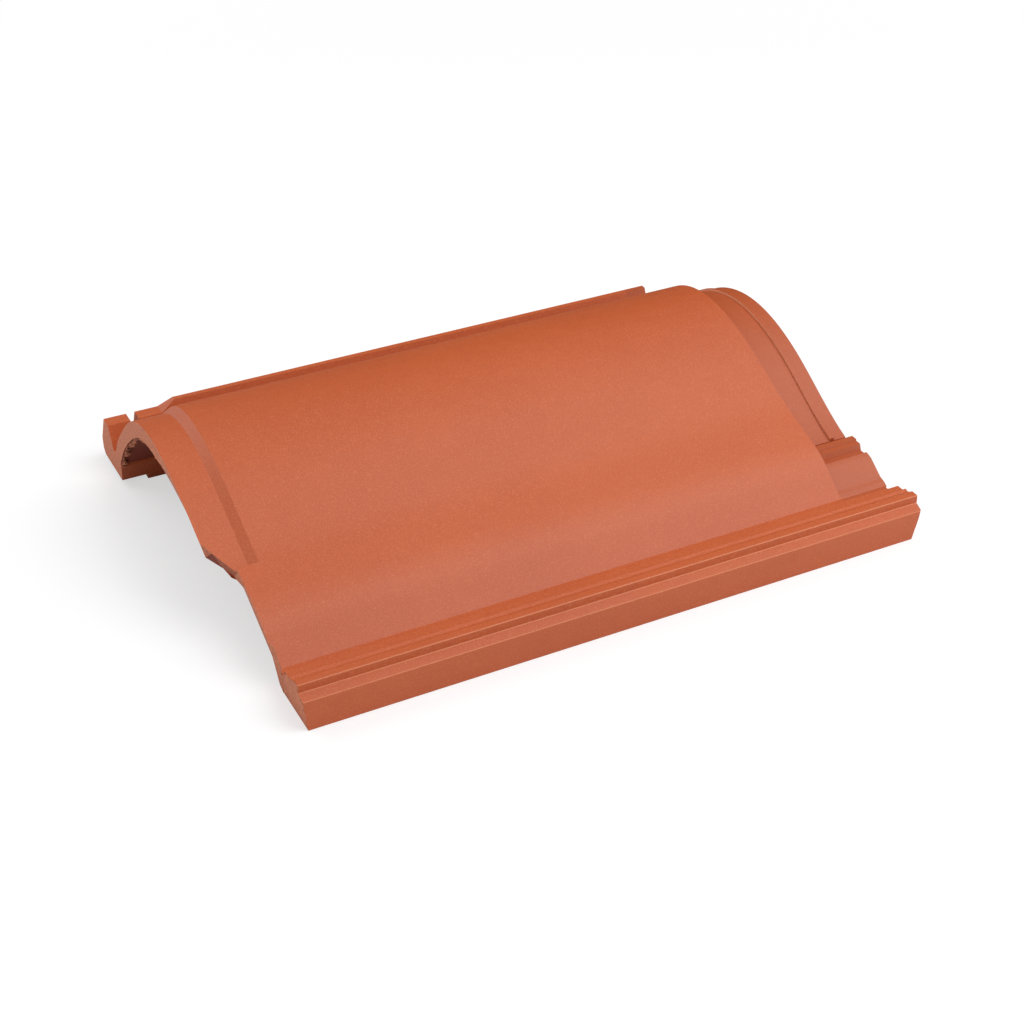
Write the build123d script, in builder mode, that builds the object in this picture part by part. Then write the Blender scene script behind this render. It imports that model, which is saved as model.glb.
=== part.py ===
from build123d import *
import os

# Interlocking single-roll roof tile, one moulded and fired piece.
# X runs from the nose to the head, Y from the near side lock to the far ear,
# Z up. The origin is under the middle of the tile, on the floor. Millimetres.

os.makedirs("parts", exist_ok=True)

# Overall size
LENGTH = 442.0
WIDTH = 338.0
CROWN_HEIGHT = 89.0
WALL = 10.5

# Lowered bands at the two ends
NOSE_BAND = 21.9
NOSE_DROP = 3.7
NOSE_BEVEL = 5.9
HEAD_BAND = 36.5
HEAD_DROP = 9.4
HEAD_WALL = 7.5
HEAD_OVERLAP = 16.0
CROSS_RIB_SETBACK = 12.5
CROSS_RIB_WIDTH = 3.0
CROSS_RIB_RISE = 1.6
HEAD_MID_DROP = 6.0

# Near side lock: skirt, ledge, two ribs, shelf and gutter
LOCK_SETBACK = 16.0
LOCK_FOOT = 46.0
NOSE_DRAFT = 2.0
HEAD_DRAFT = 6.0
CORNER_ROUND = 3.0
SKIRT_HEIGHT = 20.4
LEDGE_WIDTH = 6.5
LEDGE_RISE = 2.4
OUTER_RIB_HEIGHT = 28.1
OUTER_RIB_TOP = 5.2
GROOVE_WIDTH = 4.0
GROOVE_DEPTH = 2.5
INNER_RIB_HEIGHT = 26.4
INNER_RIB_TOP = 3.0
SHELF_Z = 24.1
SHELF_WIDTH = 6.0
GUTTER_FALL = 3.7
EDGE_ROUND = 1.0

# Pan and roll: distances from the near face and heights
VALLEY_Y = 38.0
VALLEY_Z = 17.8
PAN_FOOT_Y = 60.0
PAN_FOOT_Z = 35.2
PAN_MID_Y = 97.0
PAN_MID_Z = 49.9
SHOULDER_Y = 150.0
SHOULDER_Z = 74.2
CROWN_Y = 206.0
WEB_Y = 55.5
WEB_Z = 14.1

# Far flank of the roll, counted back from the V channel
FAR_SHOULDER_Y = 56.0
FAR_SHOULDER_Z = 76.0
FLANK_Y = 26.0
FLANK_Z = 50.5

# Far side lock: V channel, ear and foot
CHANNEL_SETBACK = 28.0
CHANNEL_Z = 20.0
CHANNEL_ROOT = 3.0
EAR_HEIGHT = 42.5
EAR_NOSE_HEIGHT = 36.0
EAR_TOP = 4.0
EAR_SETBACK = 14.5
EAR_SIDE_HEIGHT = 16.0
EAR_UNDERSIDE = 3.5
EAR_HEAD_SETBACK = 20.0
EAR_NOTCH = 6.0
EAR_NOTCH_DEPTH = 12.0
EAR_STEP = 38.0
EAR_RAMP = 10.0
FOOT_INNER = 13.0
FOOT_WIDTH = 20.0
FOOT_RELIEF = 4.0

# Clipped corner of the nose, where four tiles meet
PAN_SETBACK = 13.7
PAN_WIDTH = 99.0
CLIP_WIDTH = 24.0

# Stepped block between the head band and the pan
BLOCK_Y = 79.0
BLOCK_Z = 34.2
BLOCK_WIDTH = 9.0
BLOCK_GAP = 6.0
BLOCK_STEP = 1.2
PANEL_Z = 28.6
PANEL_LIP = 2.0
PANEL_Y = 62.0

x_nose = -LENGTH / 2
x_head = LENGTH / 2
x_pan = x_nose + PAN_SETBACK
x_step = x_nose + NOSE_BAND
x_body = x_step + NOSE_BEVEL
x_body_end = x_head - HEAD_BAND
x_lock = x_nose + LOCK_SETBACK
y_near = -WIDTH / 2
y_far = WIDTH / 2
y_clip = y_near + PAN_WIDTH
y_channel = y_far - CHANNEL_SETBACK
y_foot = y_channel - FOOT_INNER
TALL = CROWN_HEIGHT + WALL


def roll_section(station, drop, wall, mid_drop=0, start=y_near):
    """Cross-section of the shell: pan and roll down to the V channel, one wall thick."""
    with BuildSketch(Plane.YZ.offset(station)) as section:
        with BuildLine():
            top = Spline(
                (y_near + VALLEY_Y, VALLEY_Z),
                (y_near + PAN_FOOT_Y, PAN_FOOT_Z - drop - mid_drop / 2),
                (y_near + PAN_MID_Y, PAN_MID_Z - drop - mid_drop),
                (y_near + SHOULDER_Y, SHOULDER_Z - drop),
                (y_near + CROWN_Y, CROWN_HEIGHT - drop),
                (y_channel - FAR_SHOULDER_Y, FAR_SHOULDER_Z - drop),
                (y_channel - FLANK_Y, FLANK_Z - drop),
                (y_channel - 1, CHANNEL_Z - CHANNEL_ROOT - drop),
                tangents=((1, 0.7), (0.55, -1)),
            )
            under = []
            for share in (0.2, 0.32, 0.44, 0.56, 0.68, 0.8, 0.9, 1.0):
                along = top % share
                spot = top @ share
                under.append((spot.X + wall * along.Y, spot.Y - wall * along.X))
            bottom = Spline(*under)
            Line(top @ 1, bottom @ 1)
            Polyline(
                bottom @ 0,
                (y_near + WEB_Y, WEB_Z),
                (y_near + LOCK_FOOT, 0),
                (y_near + VALLEY_Y, 0),
                top @ 0,
            )
        make_face()
        with Locations((start, 0)):
            Rectangle(WIDTH, 3 * TALL, align=(Align.MAX, Align.CENTER), mode=Mode.SUBTRACT)
    return section.sketch.face()


with BuildPart() as roof_tile:
    # Strip of the pan beside the clipped corner, at the level of the body
    extrude(roll_section(x_pan, 0, WALL), amount=x_body - x_pan)
    with BuildSketch(Plane.XY):
        with Locations((x_step, y_clip)):
            Rectangle(2 * NOSE_BAND, WIDTH, align=(Align.CENTER, Align.MIN))
    extrude(amount=TALL, mode=Mode.SUBTRACT)

    # Nose band with its clipped corner
    extrude(roll_section(x_nose, NOSE_DROP, WALL), amount=NOSE_BAND)
    with BuildSketch(Plane.XY):
        with BuildLine():
            Polyline(
                (x_nose - 1, y_near),
                (x_pan, y_near),
                (x_pan, y_clip),
                (x_nose, y_clip + CLIP_WIDTH),
                (x_nose - 1, y_clip + CLIP_WIDTH),
                close=True,
            )
        make_face()
    extrude(amount=TALL, mode=Mode.SUBTRACT)

    # Bevel up to the body, then the body
    loft([roll_section(x_step, NOSE_DROP, WALL), roll_section(x_body, 0, WALL)])
    extrude(roll_section(x_body, 0, WALL), amount=x_body_end - x_body)

    # Lowered head band, carried under the body and joined to it there
    extrude(
        roll_section(x_body_end - HEAD_OVERLAP, HEAD_DROP, HEAD_WALL, HEAD_MID_DROP),
        amount=HEAD_BAND + HEAD_OVERLAP,
    )
    extrude(
        roll_section(x_body_end - HEAD_OVERLAP, HEAD_DROP / 2, WALL, HEAD_MID_DROP / 2),
        amount=HEAD_OVERLAP,
    )

    # Cross rib on the head band
    x_rib = x_head - CROSS_RIB_SETBACK
    rib_drop = HEAD_DROP - CROSS_RIB_RISE
    rib_start = y_near + BLOCK_Y + 1 + BLOCK_GAP
    extrude(
        roll_section(x_rib, rib_drop, HEAD_WALL, HEAD_MID_DROP, rib_start),
        amount=CROSS_RIB_WIDTH,
    )

    # Stepped block between the head band and the pan
    with BuildSketch(Plane.YZ.offset(x_body_end - 1)):
        block_y = y_near + BLOCK_Y
        panel_y = y_near + PANEL_Y
        with BuildLine():
            Polyline(
                (block_y + BLOCK_GAP, PANEL_Z),
                (block_y + 1, PANEL_Z),
                (block_y, BLOCK_Z),
                (block_y - BLOCK_WIDTH / 2, BLOCK_Z),
                (block_y - BLOCK_WIDTH / 2 - 0.5, BLOCK_Z - BLOCK_STEP),
                (block_y - BLOCK_WIDTH, BLOCK_Z - BLOCK_STEP),
                (block_y - BLOCK_WIDTH - 2, PANEL_Z),
                (panel_y + 3, PANEL_Z),
                (panel_y, PANEL_Z + PANEL_LIP),
                (panel_y - 5, PANEL_Z + PANEL_LIP / 4),
                (panel_y - 12, (PANEL_Z + VALLEY_Z) / 2 + 1),
                (y_near + VALLEY_Y + 3, VALLEY_Z),
                (y_near + LOCK_FOOT, VALLEY_Z - WALL / 2),
                (panel_y, PANEL_Z - WALL),
                (block_y + BLOCK_GAP, PANEL_Z - WALL / 2),
                close=True,
            )
        make_face()
    extrude(amount=HEAD_BAND + 1)
    with BuildSketch(Plane.YZ.offset(x_body_end)):
        with Locations((y_near + BLOCK_Y + 1, PANEL_Z)):
            Rectangle(BLOCK_GAP, TALL, align=(Align.MIN, Align.MIN))
    extrude(amount=HEAD_BAND, mode=Mode.SUBTRACT)

    # Far side lock: outer wall of the V channel with its ear, and the foot under it
    with BuildSketch(Plane.YZ.offset(x_nose)):
        with BuildLine():
            Polyline(
                (y_foot, 0),
                (y_foot + FOOT_WIDTH, 0),
                (y_foot + FOOT_WIDTH + 3, EAR_UNDERSIDE),
                (y_far - 4, EAR_UNDERSIDE),
                (y_far, EAR_UNDERSIDE + 4),
                (y_far, EAR_SIDE_HEIGHT),
                (y_far - EAR_SETBACK, EAR_HEIGHT),
                (y_far - EAR_SETBACK - EAR_TOP, EAR_HEIGHT),
                (y_channel, CHANNEL_Z),
                (y_foot + 2, CHANNEL_Z + 4),
                (y_foot - 3, CHANNEL_Z - 4),
                close=True,
            )
        make_face()
    extrude(amount=LENGTH - EAR_HEAD_SETBACK)

    # Ear lower along the nose, with a notch and a ramp up
    with BuildSketch(Plane.XZ.offset(-y_far)):
        with BuildLine():
            Polyline(
                (x_nose, EAR_NOSE_HEIGHT),
                (x_pan + 2, EAR_NOSE_HEIGHT),
                (x_pan + 2, EAR_NOSE_HEIGHT - EAR_NOTCH_DEPTH),
                (x_pan + 2 + EAR_NOTCH, EAR_NOSE_HEIGHT - EAR_NOTCH_DEPTH),
                (x_pan + 2 + EAR_NOTCH, EAR_NOSE_HEIGHT),
                (x_nose + EAR_STEP, EAR_NOSE_HEIGHT),
                (x_nose + EAR_STEP + EAR_RAMP, EAR_HEIGHT),
                (x_nose, EAR_HEIGHT),
                close=True,
            )
        make_face()
    extrude(amount=CHANNEL_SETBACK - 2, mode=Mode.SUBTRACT)

    # Foot clear of the floor along the nose band
    with BuildSketch(Plane.XY):
        with Locations((x_nose, y_foot - WALL)):
            Rectangle(LOCK_SETBACK + 2, 2 * CHANNEL_SETBACK, align=Align.MIN)
    extrude(amount=FOOT_RELIEF, mode=Mode.SUBTRACT)

    # Near side lock
    with BuildSketch(Plane.YZ.offset(x_lock - NOSE_DRAFT)) as lock_profile:
        ledge_y = y_near + LEDGE_WIDTH
        rib_y = ledge_y + 0.5 + OUTER_RIB_TOP
        inner_y = rib_y + GROOVE_WIDTH + INNER_RIB_TOP
        shelf_y = inner_y + 1.8 + SHELF_WIDTH
        with BuildLine():
            Polyline(
                (y_near, 0),
                (y_near, SKIRT_HEIGHT),
                (ledge_y, SKIRT_HEIGHT + LEDGE_RISE),
                (ledge_y + 0.5, OUTER_RIB_HEIGHT),
                (rib_y, OUTER_RIB_HEIGHT),
                (rib_y + GROOVE_WIDTH, OUTER_RIB_HEIGHT - GROOVE_DEPTH),
                (inner_y, INNER_RIB_HEIGHT),
                (inner_y + 1.8, SHELF_Z),
                (shelf_y, SHELF_Z),
                (shelf_y + GUTTER_FALL, VALLEY_Z),
                (y_near + VALLEY_Y, VALLEY_Z),
                (y_near + VALLEY_Y, 0),
                close=True,
            )
        make_face()
        shaped = lock_profile.vertices().filter_by(lambda v: v.X < y_near + VALLEY_Y - 1)
        fillet(shaped.filter_by(lambda v: v.Y > 1), radius=EDGE_ROUND)
    extrude(amount=x_head - x_lock + NOSE_DRAFT)

    # Drafted ends of the near lock
    with BuildSketch(Plane.XZ.offset(-y_near)):
        with BuildLine():
            Polyline(
                (x_lock - NOSE_DRAFT, 0),
                (x_lock, 0),
                (x_lock - NOSE_DRAFT, SKIRT_HEIGHT),
                close=True,
            )
        make_face()
        with BuildLine():
            Polyline((x_head - HEAD_DRAFT, 0), (x_head, 0), (x_head, SHELF_Z), close=True)
        make_face()
    extrude(amount=-VALLEY_Y, mode=Mode.SUBTRACT)

    # Rounded head corner of the near lock
    with BuildSketch(Plane.XY):
        with Locations((x_head, y_near)):
            Rectangle(2 * CORNER_ROUND, 2 * CORNER_ROUND)
        with Locations((x_head - CORNER_ROUND, y_near + CORNER_ROUND)):
            Circle(CORNER_ROUND, mode=Mode.SUBTRACT)
    extrude(amount=TALL, mode=Mode.SUBTRACT)

roof_tile.part.label = "roof_tile"
export_step(roof_tile.part, "parts/roof_tile.step")
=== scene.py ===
import math

import bmesh
import bpy
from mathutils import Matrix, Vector


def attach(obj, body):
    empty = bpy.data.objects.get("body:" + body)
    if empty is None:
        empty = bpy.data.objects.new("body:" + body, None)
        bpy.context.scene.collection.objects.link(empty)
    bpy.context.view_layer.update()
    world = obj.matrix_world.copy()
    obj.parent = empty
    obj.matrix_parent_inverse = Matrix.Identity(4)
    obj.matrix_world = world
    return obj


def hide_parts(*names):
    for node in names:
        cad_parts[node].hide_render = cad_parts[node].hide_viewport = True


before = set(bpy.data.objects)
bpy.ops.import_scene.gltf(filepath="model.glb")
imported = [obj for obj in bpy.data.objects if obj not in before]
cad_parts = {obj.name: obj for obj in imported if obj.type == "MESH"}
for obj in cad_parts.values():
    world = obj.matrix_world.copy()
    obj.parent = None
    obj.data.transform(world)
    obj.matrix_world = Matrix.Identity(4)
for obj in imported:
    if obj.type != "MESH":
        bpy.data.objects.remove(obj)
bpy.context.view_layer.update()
scene = bpy.context.scene


# ---------------------------------------------------------------- node helpers
def link(tree, a, b):
    tree.links.new(a, b)


def node(tree, kind, **values):
    n = tree.nodes.new(kind)
    for key, value in values.items():
        setattr(n, key, value)
    return n


def maths(tree, operation, a, b):
    """Two values, each a socket or a number, taken together."""
    n = node(tree, "ShaderNodeMath", operation=operation)
    for socket, value in zip(n.inputs, (a, b)):
        if isinstance(value, (int, float)):
            socket.default_value = value
        else:
            link(tree, value, socket)
    return n.outputs[0]


def times(tree, first, *others):
    """The product of sockets and numbers, taken in order."""
    for other in others:
        first = maths(tree, "MULTIPLY", first, other)
    return first


def ramp(tree, value, low, high):
    """0 below low, 1 above high, smooth between them."""
    n = node(tree, "ShaderNodeMapRange", interpolation_type="SMOOTHSTEP")
    link(tree, value, n.inputs["Value"])
    n.inputs["From Min"].default_value = low
    n.inputs["From Max"].default_value = high
    return n.outputs["Result"]


def fade(tree, value, low, high):
    """1 below low, 0 above high, smooth between them."""
    return maths(tree, "SUBTRACT", 1.0, ramp(tree, value, low, high))


def noise_of(tree, coords, scale, detail=3.0, rough=0.55):
    n = node(tree, "ShaderNodeTexNoise")
    n.inputs["Scale"].default_value = scale
    n.inputs["Detail"].default_value = detail
    n.inputs["Roughness"].default_value = rough
    link(tree, coords, n.inputs["Vector"])
    return n.outputs["Fac"]


def blend_colour(tree, factor, a, b):
    """a where factor is 0 and b where it is 1, each a socket or a colour."""
    n = node(tree, "ShaderNodeMix", data_type="RGBA")
    link(tree, factor, n.inputs["Factor"])
    for socket, value in ((n.inputs["A"], a), (n.inputs["B"], b)):
        if isinstance(value, tuple):
            socket.default_value = (*value, 1.0)
        else:
            link(tree, value, socket)
    return n.outputs["Result"]


def new_material(name):
    m = bpy.data.materials.new(name)
    m.use_nodes = True
    m.node_tree.nodes.clear()
    return m, m.node_tree


def show(tree, shader, kind="ShaderNodeOutputMaterial"):
    """Makes this shader the surface of the material or the world."""
    link(tree, shader.outputs[0], node(tree, kind).inputs["Surface"])


# ---------------------------------------------------------------- fired clay
FACE = (0.440, 0.078, 0.012)
FACE_DEEP = (0.412, 0.069, 0.010)
# pale dust for the light specks, and also the painted highlight on the near lock's arrises
DUST_AND_HIGHLIGHT = (0.620, 0.260, 0.130)
DARK_SPECK = (0.30, 0.040, 0.008)
BAND_SHADE = (0.270, 0.046, 0.008)
# painted highlight on the riser of the head's cross rib
RIB_HIGHLIGHT = (0.860, 0.420, 0.250)
# painted shade on all faces turned to the floor
UNDERSIDE_SHADE = (0.180, 0.024, 0.006)
CUT = (0.560, 0.180, 0.085)
CUT_DARK = (0.360, 0.095, 0.042)
CRUMB_DARK = (0.120, 0.028, 0.012)

# where the finishes change, in metres: each pair is the start and the end of the change
NOSE_END = (0.190, 0.200)  # towards the nose
LOCK_SIDE_Y = (-0.134, -0.132)
HEAD_BAND_X = (0.1835, 0.1865)
HEAD_BAND_Y = (-0.1345, -0.1330)
CROSS_RIB_FROM_X = (0.2075, 0.2080)
CROSS_RIB_TO_X = (0.2100, 0.2110)

SPECK_SHARE = 0.30
ARRIS_HIGHLIGHT_SHARE = 0.35
BAND_SHARE = 0.40
FACE_ROUGHNESS = 0.46
GRAIN_ROUGHNESS = 0.12
BARE_ROUGHNESS = 0.30
CRUMB_ROUGHNESS = 0.85
GRAIN_DEPTH = 0.0005


def fired_clay():
    """Even slip with fine specks, a cut nose end, a rough underside painted in deep shade, and
    the near lock's arrises and the head's cross rib painted pale as highlights.
    """
    m, t = new_material("fired_clay")
    shader = node(t, "ShaderNodeBsdfPrincipled")
    show(t, shader)
    shader.inputs["Specular IOR Level"].default_value = 0.5
    coords = node(t, "ShaderNodeTexCoord").outputs["Object"]
    place = node(t, "ShaderNodeSeparateXYZ")
    link(t, coords, place.inputs[0])
    facing = node(t, "ShaderNodeSeparateXYZ")
    link(t, node(t, "ShaderNodeNewGeometry").outputs["True Normal"], facing.inputs[0])
    x, y = place.outputs["X"], place.outputs["Y"]
    to_nose = times(t, facing.outputs["X"], -1.0)
    to_front = times(t, facing.outputs["Y"], -1.0)
    to_sky = facing.outputs["Z"]
    to_floor = times(t, to_sky, -1.0)

    cloud = noise_of(t, coords, 8.0, 2.0)
    mottle = noise_of(t, coords, 120.0, 3.0)
    grain = noise_of(t, coords, 1100.0, 2.0, 0.7)
    coarse = noise_of(t, coords, 620.0, 4.0, 0.65)

    # the slip is even: a faint firing shade, then fine light and dark specks
    tone = maths(t, "ADD", times(t, cloud, 0.7), times(t, mottle, 0.3))
    face = blend_colour(t, ramp(t, tone, 0.36, 0.66), FACE_DEEP, FACE)
    face = blend_colour(t, times(t, ramp(t, grain, 0.50, 0.74), SPECK_SHARE), face, DUST_AND_HIGHLIGHT)
    face = blend_colour(t, times(t, fade(t, grain, 0.28, 0.48), SPECK_SHARE), face, DARK_SPECK)

    # arrises of the near lock that face up and to the front are painted paler: a painted
    # highlight
    arris_highlight = times(
        t,
        ramp(t, to_front, 0.42, 0.55),
        ramp(t, to_sky, 0.35, 0.60),
        fade(t, y, *LOCK_SIDE_Y),
        ARRIS_HIGHLIGHT_SHARE,
    )
    face = blend_colour(t, arris_highlight, face, DUST_AND_HIGHLIGHT)

    # the head band, covered on a roof, is a shade deeper; the riser of its cross rib is painted
    # pale, a painted highlight over its shade
    band = times(t, ramp(t, x, *HEAD_BAND_X), ramp(t, y, *HEAD_BAND_Y), BAND_SHARE)
    face = blend_colour(t, band, face, BAND_SHADE)
    rib_highlight = times(
        t,
        ramp(t, x, *CROSS_RIB_FROM_X),
        fade(t, x, *CROSS_RIB_TO_X),
        ramp(t, to_nose, 0.15, 0.35),
    )
    face = blend_colour(t, rib_highlight, face, RIB_HIGHLIGHT)

    # the underside is rough and painted in deep shade, the nose end is cut and pale
    underside_shade_and_bare = ramp(t, to_floor, 0.10, 0.40)
    colour = blend_colour(t, underside_shade_and_bare, face, UNDERSIDE_SHADE)
    end_face = times(t, ramp(t, to_nose, 0.80, 0.93), ramp(t, times(t, x, -1.0), *NOSE_END))
    cut = blend_colour(t, ramp(t, coarse, 0.32, 0.60), CUT_DARK, CUT)
    colour = blend_colour(t, end_face, colour, cut)
    link(t, colour, shader.inputs["Base Color"])

    bare = maths(t, "MAXIMUM", end_face, underside_shade_and_bare)
    roughness = maths(t, "ADD", times(t, grain, GRAIN_ROUGHNESS), FACE_ROUGHNESS)
    roughness = maths(t, "ADD", roughness, times(t, bare, BARE_ROUGHNESS))
    link(t, roughness, shader.inputs["Roughness"])

    height = maths(t, "ADD", times(t, grain, 0.9), times(t, mottle, 0.4))
    height = maths(t, "ADD", height, times(t, coarse, bare, 3.0))
    bump = node(t, "ShaderNodeBump")
    bump.inputs["Strength"].default_value = 0.35
    bump.inputs["Distance"].default_value = GRAIN_DEPTH
    link(t, height, bump.inputs["Height"])
    link(t, bump.outputs[0], shader.inputs["Normal"])
    return m


def broken_clay():
    """The grains that stand out of a broken rim."""
    m, t = new_material("broken_clay")
    shader = node(t, "ShaderNodeBsdfPrincipled")
    show(t, shader)
    coords = node(t, "ShaderNodeTexCoord").outputs["Object"]
    patches = ramp(t, noise_of(t, coords, 500.0), 0.40, 0.60)
    link(t, blend_colour(t, patches, CRUMB_DARK, CUT), shader.inputs["Base Color"])
    shader.inputs["Roughness"].default_value = CRUMB_ROUGHNESS
    return m


CLAY = fired_clay()
CRUMB = broken_clay()


# ---------------------------------------------------------------- mesh helpers
JOIN_WITHIN = 2e-5


def in_scene(name, mesh):
    piece = bpy.data.objects.new(name, mesh)
    scene.collection.objects.link(piece)
    return piece


def sheet(name, corners, faces):
    mesh = bpy.data.meshes.new(name)
    mesh.from_pydata(corners, [], faces)
    return in_scene(name, mesh)


def with_points_joined(mesh):
    made = bmesh.new()
    made.from_mesh(mesh)
    bmesh.ops.remove_doubles(made, verts=made.verts, dist=JOIN_WITHIN)
    return made


def keep_result(piece):
    """Turns the result of the piece's modifiers into its own plain mesh."""
    bpy.context.view_layer.update()
    graph = bpy.context.evaluated_depsgraph_get()
    finished = bpy.data.meshes.new_from_object(piece.evaluated_get(graph))
    piece.modifiers.clear()
    piece.data = finished


# ---------------------------------------------------------------- the tile
FLAT_WITHIN = math.radians(0.6)
ARRIS_RADIUS = 0.0011
ARRIS_FROM = math.radians(24)
NOSE_LIP = dict(depth=0.0030, full_y=-0.020, none_y=0.035)
CORNER_REACH = 1.7  # the cut-off corner's rim goes back further than the rest
LIP_FROM_X = -0.180
LIP_FROM_Y = -0.129
FLUSH_X = -0.2052
FLUSH_FROM_X = -0.2055
FLUSH_Y = (-0.1335, -0.118)


def merged_copy(name, cad_name):
    """A copy of a CAD node as one closed mesh of flat faces, its loose triangles joined."""
    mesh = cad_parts[cad_name].data.copy()
    mesh.name = name
    made = with_points_joined(mesh)
    bmesh.ops.dissolve_limit(
        made, angle_limit=FLAT_WITHIN, verts=made.verts, edges=made.edges
    )
    bmesh.ops.recalc_face_normals(made, faces=made.faces)
    made.to_mesh(mesh)
    made.free()
    return in_scene(name, mesh)


def undercut_nose(piece, depth, full_y, none_y):
    """Draws the lower rim of the nose end back, so that the end is a thin lip.

    The draw is full below full_y and fades to nothing at none_y.
    """
    made = bmesh.new()
    made.from_mesh(piece.data)
    made.normal_update()
    moves = []
    for v in made.verts:
        if v.co.x > LIP_FROM_X or v.co.y < LIP_FROM_Y:
            continue
        around = [f.normal for f in v.link_faces]
        ends = [n for n in around if n.x < -0.4 and abs(n.z) < 0.2]
        below = any(n.z < -0.3 for n in around)
        above = any(n.z > 0.3 for n in around)
        if not ends or not below or above:
            continue
        share = min(1.0, max(0.0, (none_y - v.co.y) / (none_y - full_y)))
        out = sum(ends, Vector()).normalized()
        reach = depth * share * (CORNER_REACH if out.y < -0.3 else 1.0)
        moves.append((v, Vector((-out.x, -out.y, 0.0)) * reach))
    for v, move in moves:
        v.co += move
    # the pan's end beside the near lock lies flush
    for v in made.verts:
        if v.co.x < FLUSH_FROM_X and FLUSH_Y[0] < v.co.y < FLUSH_Y[1]:
            v.co.x = FLUSH_X
    bent = [f for f in made.faces if len(f.verts) > 4 and any(v in f.verts for v, _ in moves)]
    bmesh.ops.triangulate(made, faces=bent)
    made.to_mesh(piece.data)
    made.free()


tile = merged_copy("tile_body", "roof_tile")
tile.data.materials.clear()
tile.data.materials.append(CLAY)
undercut_nose(tile, **NOSE_LIP)
for face in tile.data.polygons:
    face.use_smooth = True
rounding = tile.modifiers.new("rounded_arrises", "BEVEL")
rounding.width = ARRIS_RADIUS
rounding.segments = 3
rounding.limit_method = "ANGLE"
rounding.angle_limit = ARRIS_FROM
shading = tile.modifiers.new("broad_faces_lead", "WEIGHTED_NORMAL")
shading.weight = 50
shading.keep_sharp = True
keep_result(tile)


# ---------------------------------------------------------------- broken rims
LOWEST_RIM_Z = 0.0014  # crumbs strewn from here up stay clear of the floor
CRUMB_INPUTS = ("Spacing", "Smallest", "Largest", "Lean", "Sink")
ANY_TURN = (6.28, 6.28, 6.28)


def rim_lines(name, keep):
    """Edges of the cut nose end as a wire, where keep(middle, other face's normal) holds."""
    source = with_points_joined(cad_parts["roof_tile"].data)
    source.verts.index_update()
    source.normal_update()
    points, outs, lines, seen_at = [], [], [], {}
    for edge in source.edges:
        if len(edge.link_faces) != 2:
            continue
        middle = (edge.verts[0].co + edge.verts[1].co) / 2
        for end, other in (edge.link_faces, reversed(edge.link_faces)):
            if end.normal.x < -0.9 and abs(other.normal.x) < 0.4 and keep(middle, other.normal):
                pair = []
                for v in edge.verts:
                    if v.index not in seen_at:
                        seen_at[v.index] = len(points)
                        points.append(Vector((v.co.x, v.co.y, max(v.co.z, LOWEST_RIM_Z))))
                        outs.append(other.normal.copy())
                    pair.append(seen_at[v.index])
                lines.append(pair)
    source.free()
    mesh = bpy.data.meshes.new(name)
    mesh.from_pydata(points, lines, [])
    outward = mesh.attributes.new("outward", "FLOAT_VECTOR", "POINT")
    for value, normal in zip(outward.data, outs):
        value.vector = normal
    return in_scene(name, mesh)


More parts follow.
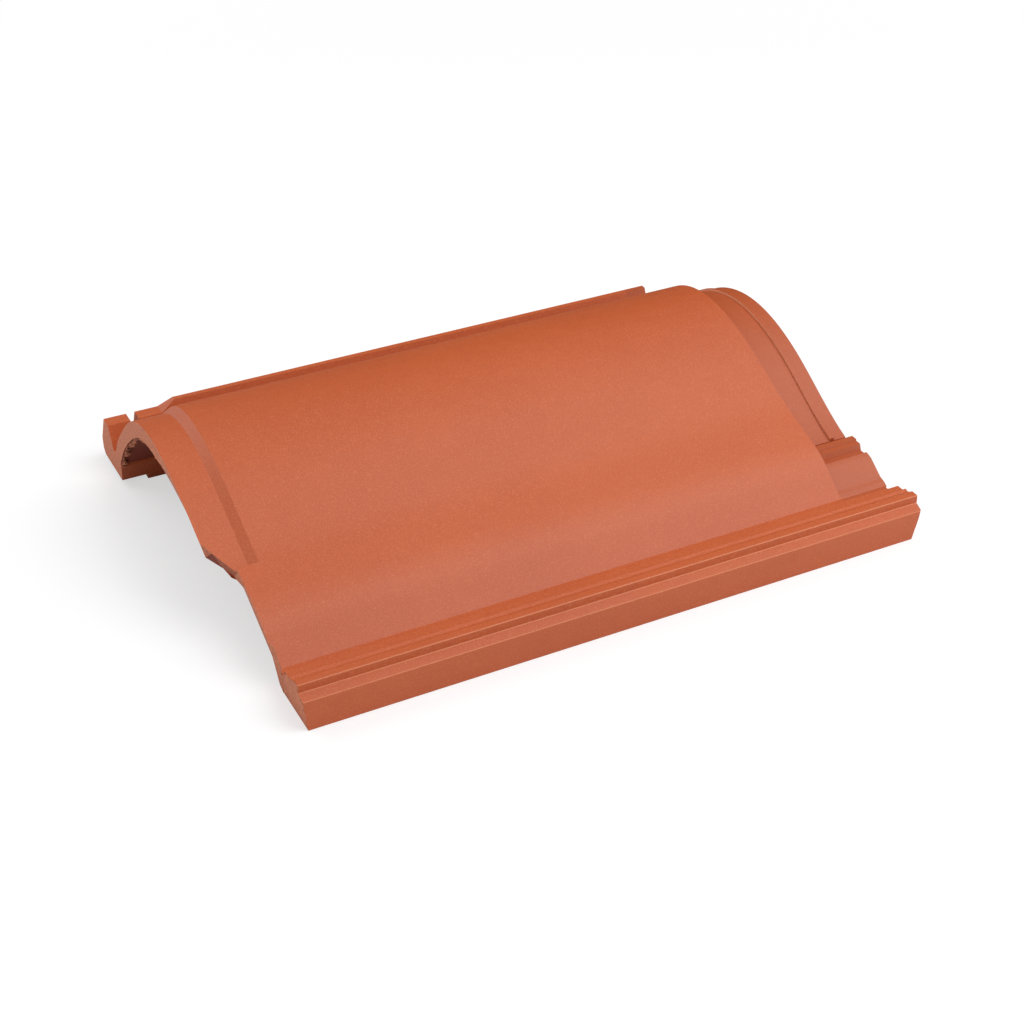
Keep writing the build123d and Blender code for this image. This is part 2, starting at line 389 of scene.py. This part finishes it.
def crumb_tree():
    """Squashed grains of clay strung along a wire, each a little off it."""
    tree = bpy.data.node_groups.new("clay_crumbs", "GeometryNodeTree")
    sockets = tree.interface
    sockets.new_socket("Geometry", in_out="OUTPUT", socket_type="NodeSocketGeometry")
    sockets.new_socket("Geometry", in_out="INPUT", socket_type="NodeSocketGeometry")
    for label in CRUMB_INPUTS:
        sockets.new_socket(label, in_out="INPUT", socket_type="NodeSocketFloat")
    sockets.new_socket("Clay", in_out="INPUT", socket_type="NodeSocketMaterial")
    given = node(tree, "NodeGroupInput").outputs

    wire = node(tree, "GeometryNodeMeshToCurve")
    link(tree, given["Geometry"], wire.inputs["Mesh"])
    spots = node(tree, "GeometryNodeResampleCurve", mode="LENGTH")
    link(tree, wire.outputs[0], spots.inputs["Curve"])
    link(tree, given["Spacing"], spots.inputs["Length"])

    # each grain leans off the rim's face and sinks into the clay by a share of its size
    size = node(tree, "FunctionNodeRandomValue", data_type="FLOAT")
    link(tree, given["Smallest"], size.inputs[2])
    link(tree, given["Largest"], size.inputs[3])
    size.inputs["Seed"].default_value = 11
    outward = node(tree, "GeometryNodeInputNamedAttribute", data_type="FLOAT_VECTOR")
    outward.inputs["Name"].default_value = "outward"
    lean = node(tree, "ShaderNodeVectorMath", operation="SCALE")
    link(tree, outward.outputs["Attribute"], lean.inputs[0])
    link(tree, times(tree, size.outputs[1], given["Lean"]), lean.inputs["Scale"])
    inward = node(tree, "ShaderNodeCombineXYZ")
    link(tree, times(tree, size.outputs[1], given["Sink"]), inward.inputs["X"])
    offset = node(tree, "ShaderNodeVectorMath", operation="ADD")
    link(tree, lean.outputs[0], offset.inputs[0])
    link(tree, inward.outputs[0], offset.inputs[1])
    placed = node(tree, "GeometryNodeSetPosition")
    link(tree, spots.outputs[0], placed.inputs["Geometry"])
    link(tree, offset.outputs[0], placed.inputs["Offset"])

    grain = node(tree, "GeometryNodeMeshIcoSphere")
    grain.inputs["Radius"].default_value = 1.0
    grain.inputs["Subdivisions"].default_value = 2
    squash = node(tree, "FunctionNodeRandomValue", data_type="FLOAT_VECTOR")
    squash.inputs[0].default_value = (0.55, 0.55, 0.55)
    squash.inputs[1].default_value = (1.0, 1.0, 1.0)
    squash.inputs["Seed"].default_value = 5
    scale = node(tree, "ShaderNodeVectorMath", operation="SCALE")
    link(tree, squash.outputs[0], scale.inputs[0])
    link(tree, size.outputs[1], scale.inputs["Scale"])
    turn = node(tree, "FunctionNodeRandomValue", data_type="FLOAT_VECTOR")
    turn.inputs[1].default_value = ANY_TURN
    turn.inputs["Seed"].default_value = 3
    strung = node(tree, "GeometryNodeInstanceOnPoints")
    link(tree, placed.outputs[0], strung.inputs["Points"])
    link(tree, grain.outputs["Mesh"], strung.inputs["Instance"])
    link(tree, turn.outputs[0], strung.inputs["Rotation"])
    link(tree, scale.outputs[0], strung.inputs["Scale"])
    real = node(tree, "GeometryNodeRealizeInstances")
    link(tree, strung.outputs[0], real.inputs[0])
    painted = node(tree, "GeometryNodeSetMaterial")
    link(tree, real.outputs[0], painted.inputs["Geometry"])
    link(tree, given["Clay"], painted.inputs["Material"])
    link(tree, painted.outputs[0], node(tree, "NodeGroupOutput").inputs[0])
    return tree


CRUMB_TREE = crumb_tree()


def crumbs(name, keep, *sizes):
    """Crumbs along a rim; the sizes are those of CRUMB_INPUTS, in that order."""
    piece = rim_lines(name, keep)
    strew = piece.modifiers.new("strew", "NODES")
    strew.node_group = CRUMB_TREE
    values = dict(zip(CRUMB_INPUTS, sizes), Clay=CRUMB)
    for item in CRUMB_TREE.interface.items_tree:
        if item.in_out == "INPUT" and item.name in values:
            strew[item.identifier] = values[item.name]
    keep_result(piece)
    return piece


def arch_rim(p, out):
    """The inner rim of the arch at the nose, on its far side."""
    on_far_side = p.x < -0.2205 and 0.024 < p.y < 0.128 and p.z > 0.014
    return on_far_side and out.z < 0.15 and out.y < 0.5


def lock_rim(p, out):
    """The rim of the near lock's nose end, but for its underside."""
    return -0.2120 < p.x < -0.2000 and p.y < -0.134 and p.z > 0.004 and out.z > -0.5


pieces = [
    tile,
    crumbs("arch_crumbs", arch_rim, 0.0019, 0.0008, 0.0026, 0.45, 1.02),
    crumbs("lock_crumbs", lock_rim, 0.0013, 0.0003, 0.0009, -1.0, 0.4),
]
for piece in pieces:
    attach(piece, "root")
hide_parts("roof_tile")


# ---------------------------------------------------------------- floor and sky
FLOOR_HALF = 6.0
FLOOR_DROP = 0.0002
WHITE = (1, 1, 1, 1)
WHITE_NEAR = 0.58  # share of plain white that the camera sees in the floor by the tile
WHITE_MORE = 0.42  # and what is added to it further out
WHITE_FROM = (0.35, 1.3)
WHITE_MIRRORED = 0.12
SKY_LIGHT = 0.43


def flat_floor():
    h = FLOOR_HALF
    floor = sheet("floor", [(-h, -h, 0), (h, -h, 0), (h, h, 0), (-h, h, 0)], [(0, 1, 2, 3)])
    floor.location.z = -FLOOR_DROP
    m, t = new_material("pale_floor")
    matt = node(t, "ShaderNodeBsdfDiffuse")
    matt.inputs["Color"].default_value = (0.93, 0.93, 0.935, 1)
    white = node(t, "ShaderNodeEmission")
    white.inputs["Color"].default_value = WHITE
    path = node(t, "ShaderNodeLightPath").outputs
    # the camera sees a white sweep with the tile's shadow on it, light as in the photo
    mirrored = maths(t, "MAXIMUM", path["Is Glossy Ray"], path["Is Transmission Ray"])
    away = node(t, "ShaderNodeVectorMath", operation="LENGTH")
    link(t, node(t, "ShaderNodeTexCoord").outputs["Object"], away.inputs[0])
    more = times(t, ramp(t, away.outputs["Value"], *WHITE_FROM), WHITE_MORE)
    seen = times(t, path["Is Camera Ray"], maths(t, "ADD", more, WHITE_NEAR))
    seen = maths(t, "MAXIMUM", seen, times(t, mirrored, WHITE_MIRRORED))
    both = node(t, "ShaderNodeMixShader")
    link(t, seen, both.inputs[0])
    link(t, matt.outputs[0], both.inputs[1])
    link(t, white.outputs[0], both.inputs[2])
    show(t, both)
    floor.data.materials.append(m)
    return floor


def dark_card(name, left, right, front, y, top):
    """A dark card behind the tile, out of the picture: only reflections meet it."""
    corners = [
        (left, y, 0), (right, y, 0), (right, y, top), (left, y, top),
        (left, front, 0), (right, front, 0),
    ]
    card = sheet(name, corners, [(0, 1, 2, 3), (4, 5, 1, 0)])
    m, t = new_material("dark_cloth")
    cloth = node(t, "ShaderNodeBsdfDiffuse")
    cloth.inputs["Color"].default_value = (0.05, 0.045, 0.04, 1)
    show(t, cloth)
    card.data.materials.append(m)
    card.visible_camera = False
    card.visible_diffuse = False
    card.visible_shadow = False
    return card


def white_sky():
    """White to the camera and in reflections, and a soft light on the tile."""
    world = bpy.data.worlds.new("studio")
    world.use_nodes = True
    t = world.node_tree
    t.nodes.clear()
    seen = node(t, "ShaderNodeBackground")
    seen.inputs["Color"].default_value = WHITE
    lit = node(t, "ShaderNodeBackground")
    lit.inputs["Color"].default_value = WHITE
    lit.inputs["Strength"].default_value = SKY_LIGHT
    path = node(t, "ShaderNodeLightPath").outputs
    shown = maths(t, "MAXIMUM", path["Is Camera Ray"], path["Is Glossy Ray"])
    shown = maths(t, "MAXIMUM", shown, path["Is Transmission Ray"])
    mixed = node(t, "ShaderNodeMixShader")
    link(t, shown, mixed.inputs[0])
    link(t, lit.outputs[0], mixed.inputs[1])
    link(t, seen.outputs[0], mixed.inputs[2])
    show(t, mixed, "ShaderNodeOutputWorld")
    return world


flat_floor()
dark_card("dark_card", -0.2, 3.2, 0.26, 1.9, 2.3)
scene.world = white_sky()


# ---------------------------------------------------------------- lamps
def lamp(name, place, aim, width, height, radiance):
    data = bpy.data.lights.new(name, "AREA")
    data.shape = "RECTANGLE"
    data.size = width
    data.size_y = height
    data.energy = radiance * math.pi * data.size * data.size_y
    made = in_scene(name, data)
    made.location = place
    made.rotation_mode = "QUATERNION"
    made.rotation_quaternion = (Vector(aim) - Vector(place)).to_track_quat("-Z", "Y")
    made.visible_camera = False


lamp("overhead_softbox", (0.84, -0.78, 1.9), (0.0, -0.1, 0.0), 1.6, 2.1, 3.9)
lamp("far_left_softbox", (-0.88, 1.10, 1.28), (-0.1, 0.0, 0.0), 1.5, 1.2, 1.9)
lamp("front_fill", (1.0, -0.75, 0.34), (0.15, -0.15, 0.0), 0.45, 0.45, 2.4)


# ---------------------------------------------------------------- camera
PITCH = math.radians(33.4306)
SWING = math.radians(27.1327)
EYE = (-0.46699, -0.93132, 0.67424)
LENS = 64.83

camera_data = bpy.data.cameras.new("camera")
camera_data.sensor_fit = "HORIZONTAL"
camera_data.sensor_width = 36.0
camera_data.lens = LENS
camera_data.clip_start = 0.05
camera_data.clip_end = 30.0
camera = in_scene("camera", camera_data)
camera.location = EYE
ahead = Vector((
    math.cos(PITCH) * math.sin(SWING),
    math.cos(PITCH) * math.cos(SWING),
    -math.sin(PITCH),
))
camera.rotation_mode = "QUATERNION"
camera.rotation_quaternion = ahead.to_track_quat("-Z", "Y")
scene.camera = camera
scene.view_settings.view_transform = "Standard"
